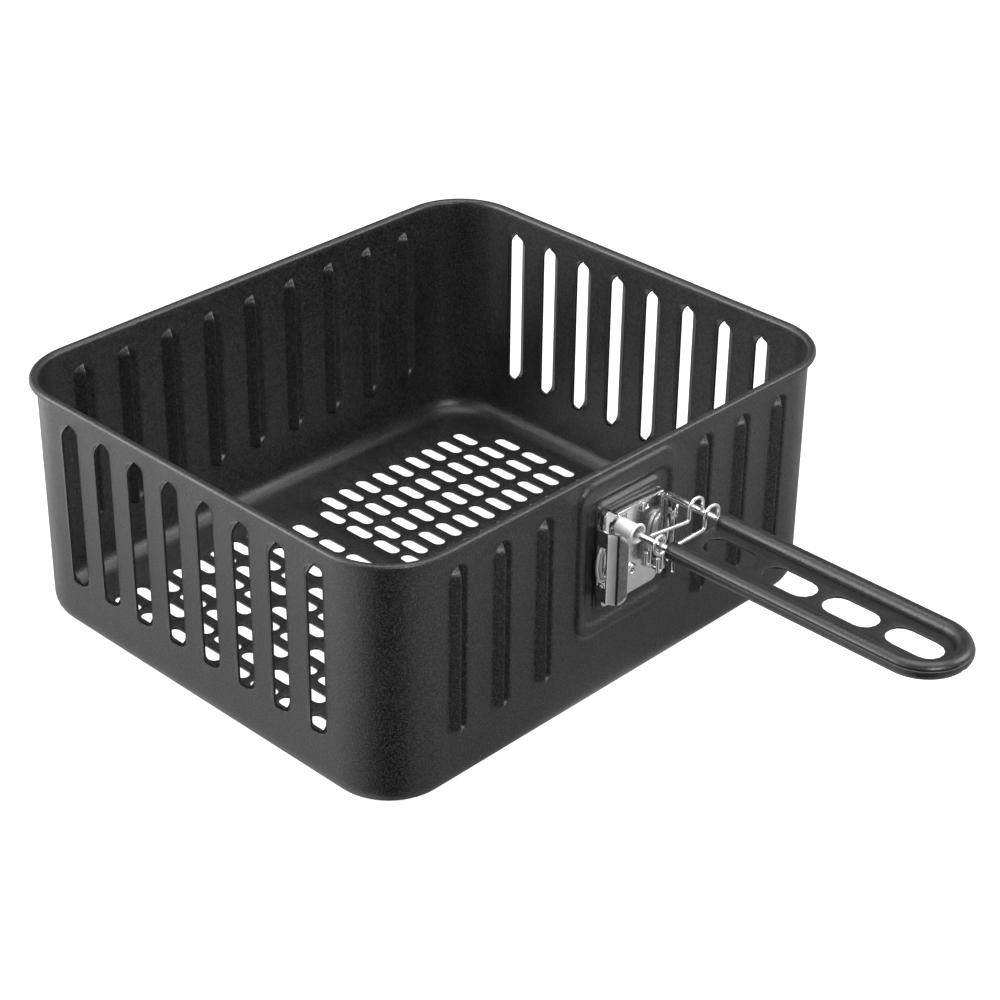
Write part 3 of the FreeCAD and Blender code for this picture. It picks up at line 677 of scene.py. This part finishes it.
def grip():
    """Pressed grip: curled edge with a lengthwise seam, and a web with four oblong holes."""
    section, path = grip_section(), grip_path()
    bore, bore_depth, curl, half = 1.78, 3.0, 3.8, 13.0
    hole_first, hole_step, hole_wide, hole_long = PLATE_FACE - 52.0, 30.0, 13.0, 25.0
    vertices, faces = [], []
    count, last = len(section), len(path) - 1
    for x, y, nx, ny, scale, notch in path:
        for across, up, degrees in section:
            size = scale - (notch / curl if 255 < degrees < 345 else 0.0)
            vertices.append((x + nx * across * size, y + ny * across * size, ROD_Z + up * size))
    for j in range(last):
        for k in range(count):
            n = (k + 1) % count
            faces.append((j * count + k, j * count + n, (j + 1) * count + n, (j + 1) * count + k))
    for j in (0, last):
        first = len(vertices)
        x, y, nx = path[j][:3]
        for depth in (0.0, -bore_depth):
            for k in range(count):
                angle = 2 * math.pi * k / count
                across, up = bore * math.cos(angle), bore * math.sin(angle)
                vertices.append((x + nx * across, y + depth, ROD_Z + up))
        for k in range(count):
            n = (k + 1) % count
            faces.append((j * count + k, j * count + n, first + n, first + k))
            faces.append((first + k, first + n, first + count + n, first + count + k))
    edge = settle(new_object("grip_curl", vertices, faces), 40.0)
    end = [math.radians(a) for a in range(190, 360, 10)]
    outline = [(-half, MOUTH_Y), (-half, TURN_Y)]
    outline += [(half * math.cos(a), TURN_Y + half * math.sin(a)) for a in end]
    outline += [(half, TURN_Y), (half, MOUTH_Y)]
    holes = [(0.0, hole_first - hole_step * k, hole_wide, hole_long) for k in range(4)]
    flat, kept = holed_sheet(outline, holes)
    web = new_object("grip_web", [(x, y, ROD_Z - 0.3) for x, y in flat], kept)
    add_modifier(web, "SOLIDIFY", thickness=1.0 * MM, offset=-1.0)
    add_modifier(web, "BEVEL", width=0.25 * MM, segments=2, limit_method="ANGLE",
                 angle_limit=math.radians(50))
    return joined("grip", [edge, settle(web)])


dress(grip(), "handle", GRIP, "coated_grip", "grip_shell")

barrel = [(1.77, 0.0), (3.35, 0.0), (3.55, 0.1), (3.6, 0.3), (3.6, 0.8), (3.6, 8.4), (3.6, 8.9),
          (3.75, 9.1), (4.15, 9.15), (4.45, 9.45), (4.5, 9.8), (4.4, 10.15), (4.05, 10.4), (3.65, 10.4),
          (3.4, 10.1), (3.3, 9.6), (3.1, 9.0), (3.0, 8.0), (3.0, 4.0), (1.77, 4.0)]
sleeve = settle(lathe("sleeve_turned", barrel, (-ROD_X, PLATE_FACE - 7.0, ROD_Z), (0, -1, 0), 48), 50.0)
dress(sleeve, "sleeve", SLEEVE, "bright_sleeve", "lock_sleeve")


def clip():
    """Spring wire clip: tail, arm, eye, link, eye, arm, hook and tail in one run."""
    radius, hug = 0.85, 3.7
    near, far = PLATE_FACE - 21.2, PLATE_FACE - 29.6
    low, eye_x, eye_z = ROD_Z - hug, ROD_X - 1.2, ROD_Z + 2.0
    left, right = eye_x - 4.1, eye_x + 4.1
    step, bottom, shift = 2.2, ROD_Z - 12.4, 1.9
    tip = bottom + 5.5
    across, wide, up = (1, 0, 0), (4.1, 0, 0), (0, 0, 3.7)
    hang = -ROD_X + 2.7
    line = [Vector((hang - step, near, tip))]
    line += arc_points((hang - step / 2, near, bottom), step / 2, 180, 360, 8, across, (0, 0, 1))
    line += bent_line([(hang, near, bottom), (hang, near, ROD_Z - 0.2), (left, near, low),
                       (left, near, eye_z)], 1.4)[1:]
    line += arc_points((eye_x, near, eye_z), 1.0, 180, 0, 18, wide, up)[1:]
    drop = eye_z - 3.6
    line += bent_line([(right, near, eye_z), (right, near, drop), (right, far, drop),
                       (right, far, eye_z)], 1.6)[1:]
    line += arc_points((eye_x, far, eye_z), 1.0, 0, 180, 18, wide, up)[1:]
    line += bent_line([(left, far, eye_z), (left, far, low), (-ROD_X, far, low)], 1.4)[1:]
    hook = arc_points((-ROD_X, far, ROD_Z), hug, 270, 0, 24, across, (0, 0, 1))
    line += [p + Vector((0, shift * k / 24, 0)) for k, p in enumerate(hook)][1:]
    hang = -ROD_X + hug - 1.2
    line += bent_line([line[-1], (-ROD_X + hug, far + shift, low + 2.2), (hang, far + shift, low - 1.0),
                       (hang, far + shift, bottom)], 0.8, 4)[1:]
    turn_back = (hang - step / 2, far + shift, bottom)
    line += arc_points(turn_back, step / 2, 360, 180, 8, across, (0, 0, 1))[1:]
    line.append(Vector((hang - step, far + shift, tip)))
    return settle(tube("clip", line, radius, 14))


dress(clip(), "clip", WIRE, "plated_wire", "clip_wire")


def latch_loop(side, label):
    """Two nested oval turns of spring wire in a channel, bulging out of its window."""
    radius, y, middle, turns = 0.7, PLATE_FACE - 0.9, 73.7, []
    for outside, inside, tall in ((21.9, 12.6, 9.0), (20.0, 14.2, 7.2)):
        centre, bow = side * (outside + inside) / 2, (outside - inside) / 2
        oval = arc_points((centre, y, middle), 1.0, 0, 360, 48, (bow, 0, 0), (0, 0, tall))
        turns.append(settle(tube(f"turn_{label}_{inside}", oval, radius, 14, closed=True)))
    return joined(f"latch_{label}_loop", turns)


for side, label in ((-1, "left"), (1, "right")):
    dress(latch_loop(side, label), f"latch_{label}", SPRING, "spring_wire", f"latch_loop_{label}")


# Camera, light and floor

# The camera solved on the photo: place, then azimuth, elevation and roll in degrees
CAMERA_PLACE, CAMERA_TURN, CAMERA_LENS = (-678.3, -696.0, 623.4), (46.154, 30.734, 0.793), 90.81


def look_matrix(place, azimuth, elevation, roll):
    az, el, ro = (math.radians(a) for a in (azimuth, elevation, roll))
    forward = Vector((math.sin(az) * math.cos(el), math.cos(az) * math.cos(el), -math.sin(el)))
    level = Vector((math.cos(az), -math.sin(az), 0))
    above = level.cross(forward)
    right = level * math.cos(ro) + above * math.sin(ro)
    up = right.cross(forward)
    matrix = Matrix((right, up, -forward)).transposed().to_4x4()
    matrix.translation = Vector(place) * MM
    return matrix


camera_data = bpy.data.cameras.new("camera")
camera_data.sensor_width = 36.0
camera_data.lens = CAMERA_LENS
camera_data.clip_end = 20.0
camera = bpy.data.objects.new("camera", camera_data)
bpy.context.scene.collection.objects.link(camera)
camera.matrix_world = look_matrix(CAMERA_PLACE, *CAMERA_TURN)
bpy.context.scene.camera = camera


def area_light(name, place, target, size, power):
    data = bpy.data.lights.new(name, "AREA")
    data.shape = "RECTANGLE"
    data.size, data.size_y = size
    data.energy = power
    light = bpy.data.objects.new(name, data)
    bpy.context.scene.collection.objects.link(light)
    light.location = place
    light.rotation_euler = (Vector(target) - Vector(place)).to_track_quat("-Z", "Y").to_euler()
    return light


# Place, target and size of each lamp in metres, and its power in watts
LAMPS = (("key_left", (-1.1, 0.9, 0.75), (0, 0, 0.06), (1.2, 1.0), 22),
         ("key_right", (1.0, -0.82, 0.95), (0, -0.05, 0.06), (0.7, 0.7), 10),
         ("front", (-0.37, -1.2, 0.85), (0, 0, 0.09), (0.4, 0.4), 9),
         ("top", (0.2, -0.1, 1.6), (0, 0.02, 0), (1.2, 1.2), 18))
for lamp in LAMPS:
    area_light(*lamp)

# Reflections find a room that stays where it is when the camera moves. It is brightest on the
# left, dark on the side that the photo was taken from, and dim on the side opposite.
DARK_SIDE, LEFT_SIDE = (-0.682, -0.731, 0.0), (-0.574, 0.819, 0.0)
ROOM_LEVEL, LEFT_LEVEL, DARK_SHARE, DIM_SHARE, FILL_LEVEL = 0.8, 1.9, 0.03, 0.35, 0.22
FLOOR_HALF, FLOOR_GLOW = 3000, 0.93


def math_node(tree, operation, *values):
    node = tree.nodes.new("ShaderNodeMath")
    node.operation = operation
    for socket, value in zip(node.inputs, values):
        if isinstance(value, (int, float)):
            socket.default_value = value
        else:
            tree.links.new(value, socket)
    return node.outputs["Value"]


def eased(tree, value, start, end, first, last):
    """Smooth change of a value from first to last while it runs from start to end."""
    node = tree.nodes.new("ShaderNodeMapRange")
    node.interpolation_type = "SMOOTHSTEP"
    for key, number in (("From Min", start), ("From Max", end), ("To Min", first), ("To Max", last)):
        node.inputs[key].default_value = number
    tree.links.new(value, node.inputs["Value"])
    return node.outputs["Result"]


def vector_node(tree, operation, vector, other=None):
    node = tree.nodes.new("ShaderNodeVectorMath")
    node.operation = operation
    tree.links.new(vector, node.inputs[0])
    if other is not None:
        node.inputs[1].default_value = other
    return node.outputs["Value" if operation in ("DOT_PRODUCT", "LENGTH") else "Vector"]


def blend(tree, factor, first, second):
    """Number between first and second."""
    node = tree.nodes.new("ShaderNodeMix")
    node.data_type = "FLOAT"
    tree.links.new(factor, node.inputs[0])
    for socket, value in ((node.inputs[2], first), (node.inputs[3], second)):
        if isinstance(value, (int, float)):
            socket.default_value = value
        else:
            tree.links.new(value, socket)
    return node.outputs[0]


world = bpy.data.worlds.new("studio")
bpy.context.scene.world = world
world.use_nodes = True
sky = world.node_tree
background = sky.nodes["Background"]
background.inputs["Color"].default_value = (1, 1, 1, 1)
heading = sky.nodes.new("ShaderNodeTexCoord").outputs["Generated"]
level_way = vector_node(sky, "NORMALIZE", vector_node(sky, "MULTIPLY", heading, (1, 1, 0)))
rays = sky.nodes.new("ShaderNodeLightPath").outputs
to_dark = vector_node(sky, "DOT_PRODUCT", level_way, DARK_SIDE)
dark = eased(sky, to_dark, 0.80, 0.95, 1.0, DARK_SHARE)
to_left = vector_node(sky, "DOT_PRODUCT", level_way, LEFT_SIDE)
left = eased(sky, to_left, 0.35, 0.95, ROOM_LEVEL, LEFT_LEVEL)
dim = eased(sky, to_dark, -0.98, -0.80, DIM_SHARE, 1.0)
seen = math_node(sky, "MULTIPLY", math_node(sky, "MULTIPLY", dark, dim), left)
mirrored = math_node(sky, "MAXIMUM", rays["Is Glossy Ray"], rays["Is Transmission Ray"])
level = blend(sky, rays["Is Camera Ray"], blend(sky, mirrored, FILL_LEVEL, seen), 1.0)
sky.links.new(level, background.inputs["Strength"])

corners = [(FLOOR_HALF * sx, FLOOR_HALF * sy, 0) for sx, sy in ((-1, -1), (1, -1), (1, 1), (-1, 1))]
floor = new_object("floor", corners, [(0, 1, 2, 3)])
floor_material, floor_tree, floor_surface = shader("pale_floor", grey(0.35), 0.7)
spot = floor_tree.nodes.new("ShaderNodeTexCoord").outputs["Object"]
rays = floor_tree.nodes.new("ShaderNodeLightPath").outputs
floor_surface.inputs["Emission Color"].default_value = (1, 1, 1, 1)
floor_glow = math_node(floor_tree, "MULTIPLY", rays["Is Camera Ray"], FLOOR_GLOW)
floor_tree.links.new(floor_glow, floor_surface.inputs["Emission Strength"])
# Reflections see the room's walls through the floor, with a painted shadow that dims them to half just
# outside the basket
distance = vector_node(floor_tree, "LENGTH", spot)
shadow_edge = eased(floor_tree, distance, 0.115, 0.135, 1.0, 0.5)
shadow_fade = eased(floor_tree, distance, 0.14, 0.40, 0.5, 1.0)
clear = floor_tree.nodes.new("ShaderNodeBsdfTransparent")
# The see-through colour carries the painted shadow: half just outside the basket, full under it and
# further out
floor_tree.links.new(math_node(floor_tree, "MAXIMUM", shadow_edge, shadow_fade), clear.inputs["Color"])
mirrored = math_node(floor_tree, "MAXIMUM", rays["Is Glossy Ray"], rays["Is Transmission Ray"])
mix = floor_tree.nodes.new("ShaderNodeMixShader")
floor_tree.links.new(mirrored, mix.inputs["Fac"])
floor_tree.links.new(floor_surface.outputs["BSDF"], mix.inputs[1])
floor_tree.links.new(clear.outputs["BSDF"], mix.inputs[2])
floor_tree.links.new(mix.outputs["Shader"], floor_tree.nodes["Material Output"].inputs["Surface"])
floor.data.materials.append(floor_material)

bpy.context.scene.view_settings.view_transform = "Standard"
